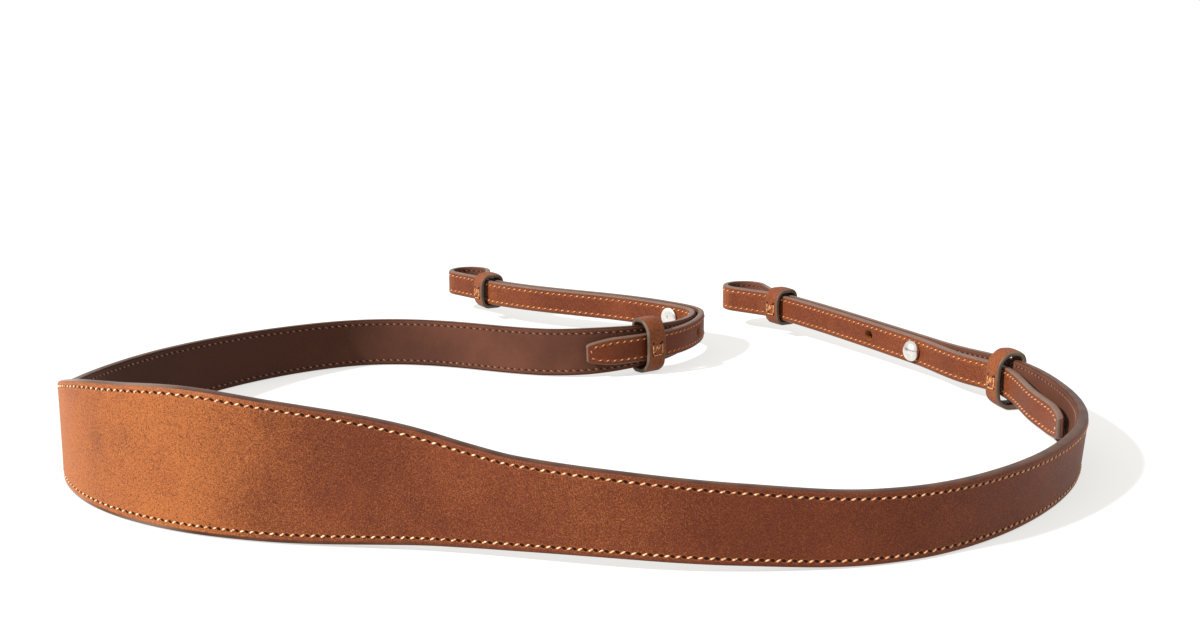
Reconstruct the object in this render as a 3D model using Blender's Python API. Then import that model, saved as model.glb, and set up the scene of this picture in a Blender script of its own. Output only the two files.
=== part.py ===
# A leather camera neck strap, lying on a table on its long lower edge.
# Metres, +Z up, +X to the viewer's right, +Y away from the viewer.
# A place along the strap is its distance from the pad's middle, with the left end negative.

import math
from collections import namedtuple

import bmesh
import bpy
import numpy as np
from mathutils import Matrix, Vector

# Lengths along the strap
PAD_TO_STUD = 0.440
STUD_TO_LOOP = {"left": 0.103, "right": 0.094}
STUD_TO_TIP = {"left": 0.097, "right": 0.115}
STUD_TO_KEEPER = {"left": 0.063, "right": 0.052}
SHOULDER_TO_KEEPER = 0.026
STUD_TO_SHOULDER = 0.008
PARING_LENGTH = 0.054
TIP_LENGTH = 0.013
HOLE_PITCH = {"left": 0.035, "right": 0.026}

# Widths and thicknesses
PAD_WIDTH = 0.042
BAND_WIDTH = 0.0186
END_WIDTH = 0.011
TIP_WIDTH = 0.0065
LEATHER = 0.0018
LINING = 0.0015
END_LEATHER = 0.0013
END_LINING = 0.0011
GLUE_LINE = 0.0003
EDGE_BEVEL = 0.0004
LINING_INSET = 0.0003

# The loop round each lug: a teardrop of arcs
LOOP_RADIUS = 0.0085
LOOP_FLARE = math.radians(20)
LOOP_NECK_RADIUS = 0.018

# How the strap lies
DOUBLED_GAP = 0.0005
PARTING = 0.0042
STUD_PARTING_REACH = 0.013
ARCH_LIFT = 0.0030
END_RISE = 0.0040
CORNER_LEAN = math.radians(5)

# Keepers: leather rings round the doubled ends
KEEPER_LENGTH = 0.0085
KEEPER_WALL = 0.0016
KEEPER_LAP = 0.0009
KEEPER_FIT = 0.0006
KEEPER_CORNER = 0.0022

# Studs: a round button screwed on through the strap
BUTTON_RADIUS = 0.0041
BUTTON_HEIGHT = 0.0034
BUTTON_SIDE_HEIGHT = 0.0008
BUTTON_SEAT_RADIUS = 0.0035
BUTTON_NECK_RADIUS = 0.0019
FLANGE_RADIUS = 0.0033
FLANGE_THICKNESS = 0.0006
SCREW_HEAD_RADIUS = 0.0040
SCREW_HEAD_THICKNESS = 0.0011
SCREW_HEAD_EDGE = 0.0003
SCREW_SHANK_RADIUS = 0.0014
FIT = 0.0003
ROUND_SIDES = 20
DOME_RINGS = 6
CREASE_ANGLE = math.radians(40)

# Sampling of the route and of the swept sections
STEP = 0.0005
SECTION_TURN = math.radians(9)
SECTION_SPAN = 0.011
STUD_SPAN = 0.003
TIP_SPAN = 0.0022

# Where each row's share is counted from, and along which length
SPANS = {
    "left end": (-PAD_TO_STUD, -STUD_TO_LOOP["left"]),
    "left half": (0, -PAD_TO_STUD),
    "right half": (0, PAD_TO_STUD),
    "right end": (PAD_TO_STUD, STUD_TO_LOOP["right"]),
}

# The route seen from above: its heading in degrees, anticlockwise from +X
Bend = namedtuple("Bend", "span share heading")
ROUTE = [
    Bend("left end", 1.00, -66),
    Bend("left end", 0.85, -38),
    Bend("left end", 0.42, -22),
    Bend("left end", 0.06, -37),
    Bend("left half", 1.00, -40),
    Bend("left half", 0.985, -49),
    Bend("left half", 0.96, -92),
    Bend("left half", 0.91, -118),
    Bend("left half", 0.85, -146),
    Bend("left half", 0.76, -192),
    Bend("left half", 0.70, -204),
    Bend("left half", 0.645, -194),
    Bend("left half", 0.545, -148),
    Bend("left half", 0.435, -124),
    Bend("left half", 0.285, -99),
    Bend("left half", 0.22, -84),
    Bend("left half", 0.125, -56),
    Bend("left half", 0.03, -30),
    Bend("right half", 0.10, -8),
    Bend("right half", 0.225, -17),
    Bend("right half", 0.33, 0),
    Bend("right half", 0.42, 12),
    Bend("right half", 0.505, 37),
    Bend("right half", 0.66, 63),
    Bend("right half", 0.77, 88),
    Bend("right half", 0.87, 102),
    Bend("right half", 0.95, 119),
    Bend("right end", 1.00, 121),
]

# The pad's taper, alike on both sides: how far the width has come from the band's to the pad's
Taper = namedtuple("Taper", "share widening")
PAD_TAPER = [
    Taper(0.00, 1.00),
    Taper(0.06, 0.91),
    Taper(0.10, 0.81),
    Taper(0.14, 0.66),
    Taper(0.18, 0.46),
    Taper(0.215, 0.32),
    Taper(0.27, 0.22),
    Taper(0.37, 0.13),
    Taper(0.45, 0.07),
    Taper(0.52, 0.03),
    Taper(0.62, 0.00),
]

# The tip's outline: how far its width has come from the blunt end's to the full width
TIP_SHAPE = [Taper(0.00, 0.0), Taper(0.12, 0.3), Taper(1.00, 1.0)]

# How far each doubled end stands off the band, from its stud to its tip
Part = namedtuple("Part", "share parting")
TAIL_PARTING = {
    "left": [Part(0.00, 0.18), Part(0.30, 0.03), Part(0.70, 0.0), Part(1.00, 0.10)],
    "right": [Part(0.00, 0.18), Part(0.25, 0.85), Part(0.452, 0.03), Part(0.74, 0.66), Part(1.00, 0.05)],
}

# Where the lower edge leaves the table, along the right half
Rise = namedtuple("Rise", "share lift")
NEAR_ARCH = [Rise(0.06, 0.0), Rise(0.175, 0.55), Rise(0.27, 1.0), Rise(0.35, 0.55), Rise(0.43, 0.0)]
LANDING = 0.75

# Where the band leans outwards on its lower edge, along both halves
Lean = namedtuple("Lean", "share lean")
CORNER = [Lean(0.49, 0.0), Lean(0.68, 1.0), Lean(0.76, 0.9), Lean(0.85, 0.0)]

LAYER_HALF = GLUE_LINE / 2
STUD_GAP = FLANGE_THICKNESS + 2 * FIT
SIGN = {"left": -1, "right": 1}


def smooth_through(rows):
    """A function that runs through the (place, value) rows in a smooth curve without overshoot."""
    places, values = np.array(sorted(rows), dtype=float).T
    steps = np.diff(places)
    slopes = np.diff(values) / steps
    tangents = np.zeros(len(places))
    for i in range(1, len(places) - 1):
        before, after = slopes[i - 1], slopes[i]
        if before * after > 0:
            weight_before = steps[i - 1] + 2 * steps[i]
            weight_after = 2 * steps[i - 1] + steps[i]
            tangents[i] = (weight_before + weight_after) / (weight_before / before + weight_after / after)

    def value(at):
        at = np.clip(at, places[0], places[-1])
        i = np.clip(np.searchsorted(places, at) - 1, 0, len(steps) - 1)
        t = (at - places[i]) / steps[i]
        return (
            values[i] * (1 + 2 * t) * (1 - t) ** 2
            + values[i + 1] * (3 - 2 * t) * t**2
            + steps[i] * (tangents[i] * t * (1 - t) ** 2 - tangents[i + 1] * (1 - t) * t**2)
        )

    return value


def place_of(span, share):
    start, length = SPANS[span]
    return start + share * length


def keeper_places(side):
    """The keepers of one end: the first towards the pad, the second by the lug loop."""
    stud = SIGN[side] * PAD_TO_STUD
    by_loop = STUD_TO_LOOP[side] - KEEPER_LENGTH / 2
    return stud - SIGN[side] * STUD_TO_KEEPER[side], stud + SIGN[side] * by_loop


def shoulder(side):
    """The distances from the pad's middle between which the band narrows to its end width."""
    keeper_start = PAD_TO_STUD - STUD_TO_KEEPER[side] - KEEPER_LENGTH / 2
    return keeper_start - SHOULDER_TO_KEEPER, PAD_TO_STUD - STUD_TO_SHOULDER


def paring_end(side):
    """Distance from the pad's middle to where the band, past its first keeper, has its end thickness."""
    return PAD_TO_STUD - STUD_TO_KEEPER[side] + KEEPER_LENGTH / 2


heading_at = smooth_through([(place_of(b.span, b.share), math.radians(b.heading)) for b in ROUTE])
widening_at = smooth_through([(t.share * PAD_TO_STUD, t.widening) for t in PAD_TAPER])
lean_at = smooth_through([(c.share * PAD_TO_STUD, c.lean * math.tan(CORNER_LEAN)) for c in CORNER])
arch_at = smooth_through([(a.share * PAD_TO_STUD, a.lift * ARCH_LIFT) for a in NEAR_ARCH])
narrowing_at, thinning_at = {}, {}
for side in SIGN:
    start, end = shoulder(side)
    narrowing_at[side] = smooth_through([(start, 0), (end, 1)])
    thinning_at[side] = smooth_through([(paring_end(side) - PARING_LENGTH, 0), (paring_end(side), 1)])


def side_at(place):
    return "right" if place > 0 else "left"


def pad_width_at(place):
    """The width without the shoulders."""
    return BAND_WIDTH + (PAD_WIDTH - BAND_WIDTH) * float(widening_at(abs(place)))


def width_at(place):
    """The strap's full width at a place along it."""
    narrowing = float(narrowing_at[side_at(place)](abs(place)))
    return pad_width_at(place) - (BAND_WIDTH - END_WIDTH) * narrowing


def thickness_at(place, band, end):
    """A layer's thickness: full along the band and pared down at the ends."""
    return band + (end - band) * float(thinning_at[side_at(place)](abs(place)))


def keeper_half_height(place):
    """Half the height of a keeper's opening, with room for the widest strap in it."""
    return max(width_at(place - KEEPER_LENGTH / 2), width_at(place + KEEPER_LENGTH / 2)) / 2 + KEEPER_FIT


def end_rise(side):
    """The rise of one end's middle line above the band's: its first keeper stands on the table."""
    by_pad, _ = keeper_places(side)
    standing = max(0, keeper_half_height(by_pad) + KEEPER_WALL - BAND_WIDTH / 2)
    return smooth_through(
        [
            (LANDING * PAD_TO_STUD, 0),
            (abs(by_pad) - KEEPER_LENGTH / 2, standing),
            (abs(by_pad) + KEEPER_LENGTH / 2, standing),
            (PAD_TO_STUD + STUD_TO_LOOP[side], END_RISE),
        ]
    )


rise_at = {side: end_rise(side) for side in SIGN}


def middle_at(place):
    """Height of the strap's middle line above the table."""
    return pad_width_at(place) / 2 + float(arch_at(place)) + float(rise_at[side_at(place)](abs(place)))


def side_of(heading):
    """The unit vector on the left of a heading, which is the lining's side."""
    return np.array([-math.sin(heading), math.cos(heading)])


def forward_of(heading):
    return np.array([math.cos(heading), math.sin(heading)])


# One sample of the strap's glue line: its plan point, the height of the strap's middle, its width,
# its lean and where along the band its thickness is taken from
Sample = namedtuple("Sample", "plan middle width lean place")


def lay_out_band():
    """The single strap between the two lug loops, as {place: (plan point, heading)}."""
    reach = {side: PAD_TO_STUD + STUD_TO_LOOP[side] for side in SIGN}
    laid = {0: (np.zeros(2), float(heading_at(0)))}
    for side, sign in SIGN.items():
        count = math.ceil(reach[side] / STEP)
        step = sign * reach[side] / count
        point = np.zeros(2)
        for i in range(count):
            point = point + step * forward_of(heading_at((i + 0.5) * step))
            laid[(i + 1) * step] = (point, float(heading_at((i + 1) * step)))
    return dict(sorted(laid.items()))


BAND = lay_out_band()
BAND_PLACES = np.array(list(BAND))


def pose_at(place):
    """The plan point and heading of the band's nearest sample."""
    return BAND[BAND_PLACES[np.abs(BAND_PLACES - place).argmin()]]


def loop_outline(across):
    """A teardrop from (0, 0), out along x round the lug and back to (0, across)."""
    bulge = LOOP_RADIUS * math.cos(LOOP_FLARE) - across / 2
    straight = (bulge - LOOP_NECK_RADIUS * (1 - math.cos(LOOP_FLARE))) / math.sin(LOOP_FLARE)
    neck = (LOOP_NECK_RADIUS * LOOP_FLARE, -LOOP_FLARE)
    bow = (LOOP_RADIUS * (math.pi + 2 * LOOP_FLARE), math.pi + 2 * LOOP_FLARE)
    points, point, heading = [], np.zeros(2), 0.0
    for length, turn in (neck, (straight, 0), bow, (straight, 0), neck):
        count = math.ceil(length / STEP)
        chord = length / count
        if turn:
            chord *= math.sin(turn / count / 2) / (turn / count / 2)
        for _ in range(count):
            point = point + chord * forward_of(heading + turn / count / 2)
            heading += turn / count
            points.append(point)
    return points


def stand_off_of(side):
    """A function of the place: how far the doubled end stands off the band, from glue line to glue line."""
    rows = [(p.share * STUD_TO_TIP[side], p.parting * PARTING) for p in TAIL_PARTING[side]]
    parting_at = smooth_through(rows)
    gap_by_stud = smooth_through([(0, STUD_GAP - DOUBLED_GAP - parting_at(0)), (STUD_PARTING_REACH, 0)])

    def stand_off(place):
        past_stud = PAD_TO_STUD - abs(place)
        closing = max(0, 1 + min(past_stud, 0) / STUD_TO_LOOP[side]) ** 3
        linings = thickness_at(place, LINING, END_LINING) + END_LINING
        parting = closing * float(parting_at(past_stud)) + float(gap_by_stud(abs(past_stud)))
        return GLUE_LINE + linings + DOUBLED_GAP + parting

    return stand_off


# The doubled end beside the band: its plan point and its run past the stud, by the place beside it
TailPoint = namedtuple("TailPoint", "place plan past_stud")


def lay_out_tail(side):
    """The doubled end from the lug loop back along the band to its tip."""
    places = BAND_PLACES[BAND_PLACES * SIGN[side] > 0][:: -SIGN[side]]
    plans = [BAND[place][0] + STAND_OFF[side](place) * side_of(BAND[place][1]) for place in places]
    runs = np.concatenate([[0], np.cumsum(np.linalg.norm(np.diff(plans, axis=0), axis=1))])
    from_loop = PAD_TO_STUD + STUD_TO_LOOP[side] - np.abs(places)
    past_stud = runs - np.interp(STUD_TO_LOOP[side], from_loop, runs)
    points = [TailPoint(*row) for row in zip(places, plans, past_stud)]
    return [point for point in points if point.past_stud <= STUD_TO_TIP[side]]


STAND_OFF = {side: stand_off_of(side) for side in SIGN}
TAIL = {side: lay_out_tail(side) for side in SIGN}


def end_samples(side):
    """One end beyond the band: round the lug loop and back to the tip."""
    sign = SIGN[side]
    root = sign * (PAD_TO_STUD + STUD_TO_LOOP[side])
    point, heading = pose_at(root)
    outward, across = sign * forward_of(heading), side_of(heading)
    samples = []
    for u, v in loop_outline(STAND_OFF[side](root)):
        samples.append(Sample(point + u * outward + v * across, middle_at(root), END_WIDTH, 0, root))
    tip_width = smooth_through([(t.share * TIP_LENGTH, t.widening) for t in TIP_SHAPE])
    for tail in TAIL[side][1:]:
        width = TIP_WIDTH + (END_WIDTH - TIP_WIDTH) * float(tip_width(STUD_TO_TIP[side] - tail.past_stud))
        samples.append(Sample(tail.plan, middle_at(tail.place), width, 0, root))
    return samples


def strap_samples():
    """The whole strip from the left tip to the right tip."""
    band = []
    for place, (plan, _) in BAND.items():
        band.append(Sample(plan, middle_at(place), width_at(place), float(lean_at(abs(place))), place))
    return end_samples("left")[::-1] + band + end_samples("right")


def chosen_sections(samples):
    """The samples that get a section: one for each small turn or span, closer at the tips."""
    plans = np.array([s.plan for s in samples])
    tangents = np.gradient(plans, axis=0)
    headings = np.unwrap(np.arctan2(tangents[:, 1], tangents[:, 0]))
    runs = np.concatenate([[0], np.cumsum(np.linalg.norm(np.diff(plans, axis=0), axis=1))])
    studs = [pose_at(sign * PAD_TO_STUD)[0] for sign in SIGN.values()]
    to_stud = np.min([np.linalg.norm(plans - plan, axis=1) for plan in studs], axis=0)
    chosen = [0]
    for i in range(1, len(samples)):
        last = chosen[-1]
        to_tip = min(runs[i], runs[-1] - runs[i])
        span = SECTION_SPAN if to_tip > TIP_LENGTH else TIP_SPAN
        if to_stud[i] < 2 * BUTTON_RADIUS:
            span = STUD_SPAN
        if abs(headings[i] - headings[last]) >= SECTION_TURN or runs[i] - runs[last] >= span:
            chosen.append(i)
    if chosen[-1] != len(samples) - 1:
        chosen[-1] = len(samples) - 1
    return [(samples[i], float(headings[i])) for i in chosen]


def layer_profile(near, far, width, inset):
    """A layer's section as (across, up) points, with its far corners bevelled."""
    low, high = inset, width - inset
    bevel = math.copysign(EDGE_BEVEL, far - near)
    return [
        (near, low),
        (far - bevel, low),
        (far, low + EDGE_BEVEL),
        (far, high - EDGE_BEVEL),
        (far - bevel, high),
        (near, high),
    ]


def new_object(name, mesh_builder, material):
    mesh = bpy.data.meshes.new(name)
    bm = bmesh.new()
    mesh_builder(bm)
    bmesh.ops.recalc_face_normals(bm, faces=bm.faces)
    bm.to_mesh(mesh)
    bm.free()
    obj = bpy.data.objects.new(name, mesh)
    bpy.context.scene.collection.objects.link(obj)
    if material:
        mesh.materials.append(material)
    return obj


def bridge_rings(bm, rings, closed):
    """Faces between neighbouring rings of points, with flat ends unless the rings close on themselves."""
    verts = [[bm.verts.new(p) for p in ring] for ring in rings]
    pairs = list(zip(verts, verts[1:])) + ([(verts[-1], verts[0])] if closed else [])
    for a, b in pairs:
        for j in range(len(a)):
            k = (j + 1) % len(a)
            bm.faces.new((a[j], a[k], b[k], b[j]))
    if not closed:
        bm.faces.new(verts[0][::-1])
        bm.faces.new(verts[-1])


def strap_layer(name, sections, facing, thicknesses, inset, material):
    """One layer of the strap, swept from tip to tip; facing is 1 for the lining and -1 for the grain."""

    def build(bm):
        rings = []
        for sample, heading in sections:
            across, base = side_of(heading), sample.middle - sample.width / 2
            near = facing * LAYER_HALF
            far = near + facing * thickness_at(sample.place, *thicknesses)
            ring = []
            for a, up in layer_profile(near, far, sample.width, inset):
                plan = sample.plan + (a - up * sample.lean) * across
                ring.append((plan[0], plan[1], base + up))
            rings.append(ring)
        bridge_rings(bm, rings, closed=False)

    return new_object(name, build, material)


def rounded_rectangle(half_across, half_up, corner, sides=4):
    """Points of a rectangle with round corners, anticlockwise."""
    points = []
    for quarter in range(4):
        centre_across = (half_across - corner) * (1 if quarter in (0, 3) else -1)
        centre_up = (half_up - corner) * (1 if quarter in (0, 1) else -1)
        for i in range(sides + 1):
            angle = math.pi / 2 * (quarter + i / sides)
            points.append((centre_across + corner * math.cos(angle), centre_up + corner * math.sin(angle)))
    return points


def strap_frame(plan, heading, height):
    """A matrix with x along the strap, y to its lining side and z up."""
    forward, across = forward_of(heading), side_of(heading)
    return Matrix(
        (
            (forward[0], across[0], 0, plan[0]),
            (forward[1], across[1], 0, plan[1]),
            (0, 0, 1, height),
            (0, 0, 0, 1),
        )
    )


def keeper(name, side, place, lap_side, material):
    """A leather ring round both layers of one end, lapped and sewn on one face."""
    plan, heading = pose_at(place)
    stand_off = STAND_OFF[side](place)
    half_depth = stand_off / 2 + LAYER_HALF + END_LEATHER + KEEPER_FIT
    half_height = keeper_half_height(place)
    inner = rounded_rectangle(half_depth, half_height, KEEPER_CORNER - KEEPER_WALL / 2)
    outside = (half_depth + KEEPER_WALL, half_height + KEEPER_WALL, KEEPER_CORNER + KEEPER_WALL / 2)
    lap = lap_side * KEEPER_LAP
    outer = [(a + lap if a * lap_side > half_depth else a, up) for a, up in rounded_rectangle(*outside)]
    frame = strap_frame(plan + stand_off / 2 * side_of(heading), heading, middle_at(place))

    def build(bm):
        rings = []
        for a_inner, a_outer in zip(inner, outer):
            ring = []
            for end, (across, up) in ((-1, a_inner), (1, a_inner), (1, a_outer), (-1, a_outer)):
                ring.append(frame @ Vector((end * KEEPER_LENGTH / 2, across, up)))
            rings.append(ring)
        bridge_rings(bm, rings, closed=True)

    return new_object(name, build, material)


def turned(name, profile, frame, material):
    """A solid turned round the frame's y axis, from (along, radius) points; radius 0 closes an end."""

    def build(bm):
        rings = []
        for along, radius in profile:
            if radius == 0:
                rings.append([bm.verts.new(frame @ Vector((0, along, 0)))])
                continue
            ring = []
            for i in range(ROUND_SIDES):
                angle = 2 * math.pi * i / ROUND_SIDES
                point = Vector((radius * math.sin(angle), along, radius * math.cos(angle)))
                ring.append(bm.verts.new(frame @ point))
            rings.append(ring)
        for a, b in zip(rings, rings[1:]):
            for j in range(ROUND_SIDES):
                k = (j + 1) % ROUND_SIDES
                corners = [a[j % len(a)], a[k % len(a)], b[k % len(b)], b[j % len(b)]]
                bm.faces.new(list(dict.fromkeys(corners)))

    obj = new_object(name, build, material)
    if material:
        obj.data.shade_smooth()
        obj.data.set_sharp_from_angle(angle=CREASE_ANGLE)
    return obj


def button_profile(flange, dome):
    """The button's flange, neck and dome, from the flange's seat outwards."""
    profile = [
        (flange, 0),
        (flange, FLANGE_RADIUS),
        (flange + FLANGE_THICKNESS, FLANGE_RADIUS),
        (flange + FLANGE_THICKNESS, BUTTON_NECK_RADIUS),
        (dome, BUTTON_NECK_RADIUS),
        (dome, BUTTON_SEAT_RADIUS),
    ]
    for i in range(DOME_RINGS):
        angle = math.pi / 2 * i / DOME_RINGS
        rise = BUTTON_SIDE_HEIGHT + (BUTTON_HEIGHT - BUTTON_SIDE_HEIGHT) * math.sin(angle)
        profile.append((dome + rise, BUTTON_RADIUS * math.cos(angle)))
    profile.append((dome + BUTTON_HEIGHT, 0))
    return profile


def screw_profile(head, end):
    """The screw's flat head and its shank, from the head's face inwards."""
    return [
        (head - SCREW_HEAD_THICKNESS, 0),
        (head - SCREW_HEAD_THICKNESS, SCREW_HEAD_RADIUS - SCREW_HEAD_EDGE),
        (head - SCREW_HEAD_THICKNESS + SCREW_HEAD_EDGE, SCREW_HEAD_RADIUS),
        (head, SCREW_HEAD_RADIUS),
        (head, SCREW_SHANK_RADIUS),
        (end, SCREW_SHANK_RADIUS),
        (end, 0),
    ]


def hole_cutter(name, frame, near, far, radius):
    turned(name, [(near, 0), (near, radius), (far, radius), (far, 0)], frame, None)


def stud(side, materials):
    """The button on the doubled end's face and the screw that holds it from the band's face."""
    place = SIGN[side] * PAD_TO_STUD
    plan, heading = pose_at(place)
    frame = strap_frame(plan, heading, middle_at(place))
    band_back, band_front = -(LAYER_HALF + END_LEATHER), LAYER_HALF + END_LINING
    flange = band_front + FIT
    dome = STAND_OFF[side](place) + LAYER_HALF + END_LEATHER + FIT
    turned(f"stud_button_{side}", button_profile(flange, dome), frame, materials["button"])
    turned(f"stud_screw_{side}", screw_profile(band_back - FIT, flange - FIT), frame, materials["screw"])
    hole_cutter(f"cut_band_{side}", frame, band_back - LEATHER, flange, SCREW_SHANK_RADIUS + FIT)
    tail_hole(f"cut_stud_{side}", side, 0)


def tail_hole(name, side, past_stud):
    """A cutter through the doubled end only, at a run past its stud."""
    tail = min(TAIL[side], key=lambda point: abs(point.past_stud - past_stud))
    plan, heading = pose_at(tail.place)
    stand_off = STAND_OFF[side](tail.place)
    near = stand_off - LAYER_HALF - END_LINING - DOUBLED_GAP / 2
    far = stand_off + LAYER_HALF + 2 * END_LEATHER
    hole_cutter(name, strap_frame(plan, heading, middle_at(tail.place)), near, far, BUTTON_NECK_RADIUS + FIT)


def plain_material(name, colour, roughness, metallic=0.0):
    material = bpy.data.materials.new(name)
    material.use_nodes = True
    shader = material.node_tree.nodes["Principled BSDF"]
    shader.inputs["Base Color"].default_value = (*colour, 1)
    shader.inputs["Roughness"].default_value = roughness
    shader.inputs["Metallic"].default_value = metallic
    material.diffuse_color = (*colour, 1)
    return material


def cut_holes(layers):
    """Joins the hole cutters into one guide and cuts both layers with it."""
    cutters = [obj for obj in bpy.data.objects if obj.name.startswith("cut_")]
    bm = bmesh.new()
    for cutter in cutters:
        bm.from_mesh(cutter.data)
        bpy.data.objects.remove(cutter)
    mesh = bpy.data.meshes.new("hole_cutters")
    bm.to_mesh(mesh)
    bm.free()
    guide = bpy.data.objects.new("hole_cutters", mesh)
    bpy.context.scene.collection.objects.link(guide)
    guide.hide_render = True
    guide.display_type = "WIRE"
    for layer in layers:
        modifier = layer.modifiers.new("holes", "BOOLEAN")
        modifier.operation = "DIFFERENCE"
        modifier.solver = "EXACT"
        modifier.object = guide


def centre_on_table():
    """Moves everything so that the origin is under the middle of the strap's outline."""
    points = np.array([v.co[:] for obj in bpy.data.objects if not obj.hide_render for v in obj.data.vertices])
    low, high = points.min(axis=0), points.max(axis=0)
    shift = Matrix.Translation((-(low[0] + high[0]) / 2, -(low[1] + high[1]) / 2, -low[2]))
    for mesh in {obj.data for obj in bpy.data.objects}:
        mesh.transform(shift)


def main():
    for obj in list(bpy.data.objects):
        bpy.data.objects.remove(obj)
    materials = {
        "leather": plain_material("grain_leather", (0.36, 0.14, 0.05), 0.5),
        "lining": plain_material("lining_leather", (0.15, 0.07, 0.04), 0.8),
        "keeper": plain_material("keeper_leather", (0.30, 0.11, 0.04), 0.5),
        "button": plain_material("polished_nickel", (0.78, 0.76, 0.72), 0.15, 1.0),
        "screw": plain_material("screw_nickel", (0.80, 0.78, 0.75), 0.3, 1.0),
    }
    sections = chosen_sections(strap_samples())
    leather = strap_layer("strap_leather", sections, -1, (LEATHER, END_LEATHER), 0, materials["leather"])
    lining = strap_layer("strap_lining", sections, 1, (LINING, END_LINING), LINING_INSET, materials["lining"])
    for side in SIGN:
        by_pad, by_loop = keeper_places(side)
        keeper(f"keeper_pad_side_{side}", side, by_pad, 1, materials["keeper"])
        keeper(f"keeper_lug_side_{side}", side, by_loop, SIGN[side], materials["keeper"])
        stud(side, materials)
        tail_hole(f"cut_free_{side}", side, -SIGN[side] * HOLE_PITCH[side])
    cut_holes([leather, lining])
    centre_on_table()


main()
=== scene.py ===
# A leather camera neck strap on a white table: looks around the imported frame.
# Every strap piece is modelled straight, as on a bench, with X along it from the left tip,
# Y across its layers (lining side positive) and Z up from its middle line, and is then laid along the route.
import math

import bpy
import numpy as np
from mathutils import Matrix, Vector


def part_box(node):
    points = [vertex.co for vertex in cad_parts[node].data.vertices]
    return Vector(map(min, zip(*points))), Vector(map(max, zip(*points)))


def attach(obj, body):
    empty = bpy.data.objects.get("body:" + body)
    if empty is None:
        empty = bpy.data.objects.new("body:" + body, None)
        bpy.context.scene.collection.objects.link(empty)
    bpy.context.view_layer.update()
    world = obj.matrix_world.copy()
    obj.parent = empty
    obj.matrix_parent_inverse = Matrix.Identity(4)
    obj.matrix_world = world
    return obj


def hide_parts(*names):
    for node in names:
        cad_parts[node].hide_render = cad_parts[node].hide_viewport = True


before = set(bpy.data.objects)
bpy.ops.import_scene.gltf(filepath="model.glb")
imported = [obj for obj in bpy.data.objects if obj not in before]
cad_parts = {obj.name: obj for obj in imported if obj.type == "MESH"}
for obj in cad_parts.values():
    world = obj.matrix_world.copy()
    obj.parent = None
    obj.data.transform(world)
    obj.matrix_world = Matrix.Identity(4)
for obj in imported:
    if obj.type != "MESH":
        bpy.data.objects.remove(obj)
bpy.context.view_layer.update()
print("frame loaded:", len(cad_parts), "nodes")

mm = 0.001
sides = {"left": -1, "right": 1}

# the strap's own sizes, in metres; these and the tables below say what the CAD says
strap = {
    "padToStud": 0.440,
    "studToLoop": {"left": 0.103, "right": 0.094},
    "studToTip": {"left": 0.097, "right": 0.115},
    "studToKeeper": {"left": 0.063, "right": 0.052},
    "shoulderToKeeper": 0.026,
    "studToShoulder": 0.008,
    "paring": 0.054,
    "tip": 0.013,
    "holePitch": {"left": 0.035, "right": 0.026},
    "padWidth": 0.042,
    "bandWidth": 0.0186,
    "endWidth": 0.011,
    "tipWidth": 0.0065,
    "grain": (0.0018, 0.0013),  # thickness in the band and in the ends
    "lining": (0.0015, 0.0011),
    "glue": 0.0003,
    "doubledGap": 0.0005,
    "parting": 0.0042,
    "studReach": 0.013,
    "archLift": 0.0030,
    "endRise": 0.0040,
    "cornerLean": math.radians(5),
    "landing": 0.75,
}
loop = {"radius": 0.0085, "flare": math.radians(20), "neckRadius": 0.018}
keeper = {
    "length": 0.0085,
    "wall": 0.0016,
    "lap": 0.0009,
    "fit": 0.0006,
    "corner": 0.0022,
    "tailCorner": {"pad": 0.0034, "lug": 0.0014},  # along the middle of the wall, on the doubled end's side
    "roomy": {"pad": 0.0007, "lug": 0.0004},  # how far its top arches up off the strap
    "rounding": 0.00045,
    "sideBulge": 0.00035,
    "crown": 0.00015,
    "topCrown": 0.0002,
}
stud = {
    "buttonRadius": 0.0041,
    "buttonHeight": 0.0034,
    "neckRadius": 0.0019,
    "flangeRadius": 0.0033,
    "flange": 0.0006,
    "headRadius": 0.0040,
    "head": 0.0011,
    "shank": 0.0014,
    "fit": 0.0003,
    "rim": 0.0008,  # of the button, below its dome
    "rimSection": [(0.0, 0.82), (0.00025, 0.96)],  # height and share of the button's radius
    "headEdge": [(0.00008, 0.0006), (0.00020, 0.00025), (0.00045, 0.0)],  # depth, and in from the head's edge
    "cross": (0.0013, 0.0008, 0.00028),  # the driver's cross: length, twice its depth, width
}

stitching = {
    "pitch": 0.0029,
    "fromEdge": 0.0019,  # from the strap's edge to the row
    "padLower": 0.0009,  # how much further in the row lies along the pad's lower edge
    "cornerRadius": 0.0015,  # of the row where it turns round a tip
    "length": (0.0016, 0.0014),  # on the band and on the narrow ends
    "radius": 0.00029,
    "slant": math.radians(27),
    "dive": 0.00028,  # how far a stitch's ends go down into the leather
    "lift": 0.00010,
    "groove": 0.93,  # share of the layer's thickness where the row lies
    # how far each stitch's thread is mixed towards its deep colour: painted shade on the left doubled end and
    # round the right bend, darker on the narrow ends, a little everywhere, and a tone that varies from stitch
    # to stitch
    "worn": {"leftTail": 0.85, "band": 0.05, "narrow": 0.48, "rightBend": 0.62, "varying": 0.10},
    "leftTail": 0.6,  # share of the left doubled end whose stitches are dull
    "duller": (0.07, 0.21),  # from the pad's middle, to the right
}

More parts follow.
